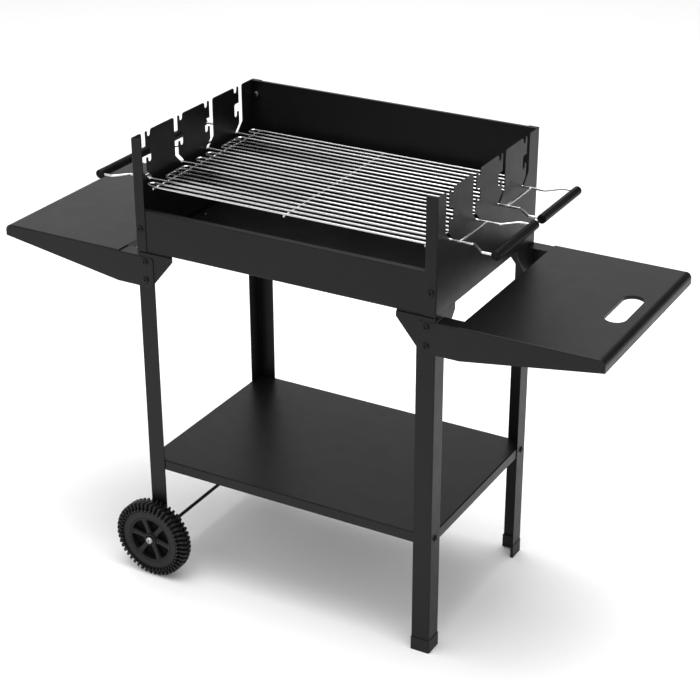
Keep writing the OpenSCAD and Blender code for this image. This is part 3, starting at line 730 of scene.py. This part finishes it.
def screw_head(radius, height):
    """A button head about Z with a hexagon socket, its flat face at z = 0."""

    def row(share, z, hexed=0.0):
        points = []
        for j in range(ROUND_STEPS):
            a = TAU * j / ROUND_STEPS
            corner = math.cos(HEX / 2) * hex_reach(a)
            r = radius * share * (1 + hexed * (corner - 1))
            points.append((r * math.cos(a), r * math.sin(a), z * height))
        return points

    mesh = Mesh()
    mesh.grid([row(0.0, 0.36), row(SOCKET - 0.06, 0.42, 1), row(SOCKET, 0.94, 1),
               row(SOCKET + 0.06, 1.0, 0.8), row(0.62, 0.97), row(0.74, 0.88), row(0.85, 0.72),
               row(0.93, 0.54), row(0.98, 0.34), row(1.0, 0.16), row(0.98, 0.0), row(0.5, 0.0),
               row(0.0, 0.0)])
    return mesh


def shank(mesh, radius, top, bottom):
    """A threaded shank about Z, from top down to bottom."""
    turns = max(2, int((top - bottom) / THREAD_PITCH))
    profile = [(radius * 0.9, top)]
    for i in range(turns):
        z = top - (i + 0.5) * (top - bottom) / turns
        profile += [(radius, z + THREAD_PITCH * 0.12), (radius, z - THREAD_PITCH * 0.12),
                    (radius * 0.86, z - THREAD_PITCH * 0.5)]
    profile += [(radius * 0.7, bottom), (0, bottom)]
    mesh.lathe(profile, 24)


def hex_nut(radius, height, bore):
    """A hexagon nut about Z from z = 0, with chamfered corners and a countersunk bore."""
    flat = radius * math.cos(HEX / 2)

    def row(share, z):
        points = []
        for j in range(ROUND_STEPS):
            a = TAU * j / ROUND_STEPS
            r = bore + (flat * hex_reach(a) - bore) * share
            drop = max(0.0, r - flat * 0.98) * 0.6
            points.append((r * math.cos(a), r * math.sin(a), z + (drop if z < height / 2 else -drop)))
        return points

    mesh = Mesh()
    mesh.grid([row(0.0, height - 0.5 * MM), row(0.12, height), row(0.6, height), row(0.9, height),
               row(1, height), row(1, 0.0), row(0.9, 0.0), row(0.12, 0.0), row(0.0, 0.5 * MM)], close=True)
    return mesh


def outward(low, high, axis):
    """Where a fastener's outer end is, and the turn that takes +Z out of the object there."""
    middle = (low + high) / 2
    sign = 1 if middle[axis] > 0 or axis == 2 else -1
    direction = Vector([sign if k == axis else 0 for k in range(3)])
    end = middle.copy()
    end[axis] = high[axis] if sign > 0 else low[axis]
    return end, direction, direction.to_track_quat("Z", "Y").to_matrix().to_4x4()


def build_bolts(node, axis):
    mesh = Mesh()
    for low, high in islands(node):
        end, direction, turn = outward(low, high, axis)
        one = screw_head((high - low)[(axis + 1) % 3] / 2, HEAD_HEIGHT)
        shank(one, BOLT_RADIUS, 0.0, HEAD_HEIGHT - (high - low)[axis])
        mesh.merge(one, Matrix.Translation(end - direction * HEAD_HEIGHT) @ turn)
    piece = mesh.build(f"{node}_detail", "black_bolts", "frame")
    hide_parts(node)


def build_nuts(node, axis):
    mesh = Mesh()
    for low, high in islands(node):
        end, direction, turn = outward(low, high, axis)
        height = (high - low)[axis]
        sizes = [(high - low)[k] for k in range(3) if k != axis]
        one = hex_nut(max(sizes) / 2, height, BOLT_RADIUS + NUT_PLAY)
        mesh.merge(one, Matrix.Translation(end - direction * height) @ turn)
    piece = mesh.build(f"{node}_detail", "zinc_hardware", "frame")
    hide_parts(node)


# radius and height of an axle cap's outline, as shares of its own: dimple, dome, groove, rim and inside
CAP_OUTLINE = [(0.0, 0.30), (0.26, 0.32), (0.31, 0.94), (0.36, 1.0), (0.42, 0.97), (0.54, 0.90), (0.62, 0.82),
               (0.66, 0.70), (0.74, 0.68), (0.80, 0.70), (0.87, 0.60), (0.91, 0.44), (0.93, 0.26),
               (0.98, 0.24), (1.0, 0.16), (1.0, 0.06), (0.97, 0.0), (0.55, 0.0), (0.55, 0.45), (0.0, 0.5)]


def build_caps():
    """Domed push-on caps over the axle's ends, each with a rolled rim and a dimpled centre."""
    mesh = Mesh()
    for low, high in islands("axle_caps"):
        end, direction, turn = outward(low, high, 1)
        height = (high - low).y
        radius = (high - low).x / 2
        one = Mesh()
        one.lathe([(r * radius, z * height) for r, z in CAP_OUTLINE], ROUND_STEPS)
        mesh.merge(one, Matrix.Translation(end - direction * height) @ turn)
    piece = mesh.build("axle_caps_detail", "zinc_hardware", "frame")
    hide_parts("axle_caps")


# ---- everything together -----------------------------------------------------


def coat_cad_nodes():
    """Gives every CAD node the material that its slot in the record names."""
    slot_of = {part["node"]: part["material_slot"] for part in frame["record"]["subparts"]}
    for node, obj in frame["nodes"].items():
        coat = MATERIALS[slot_of[node]]
        if not obj.material_slots:
            obj.data.materials.append(coat)
        for slot in obj.material_slots:
            slot.material = coat


add_camera()
add_world()
add_area("overhead", LAMP_PLACE, (0, 0, 0), LAMP_SIZE, LAMP_POWER)
bpy.context.scene.view_settings.view_transform = "Standard"
add_floor()
coat_cad_nodes()

build_grate("front", "front_grate")
build_grate("back", "back_grate")
build_wheel("front_wheel")
build_wheel("back_wheel")

# each group of fasteners, with the axis that it points along: 0 is X, 1 is Y and 2 is Z
FASTENERS = (("firebox", 1), ("shelf", 1), ("low_shelf", 0), ("floor", 2))
for group, axis in FASTENERS:
    build_bolts(f"{group}_bolts", axis)
for group, axis in FASTENERS:
    build_nuts(f"{group}_nuts", axis)
build_caps()
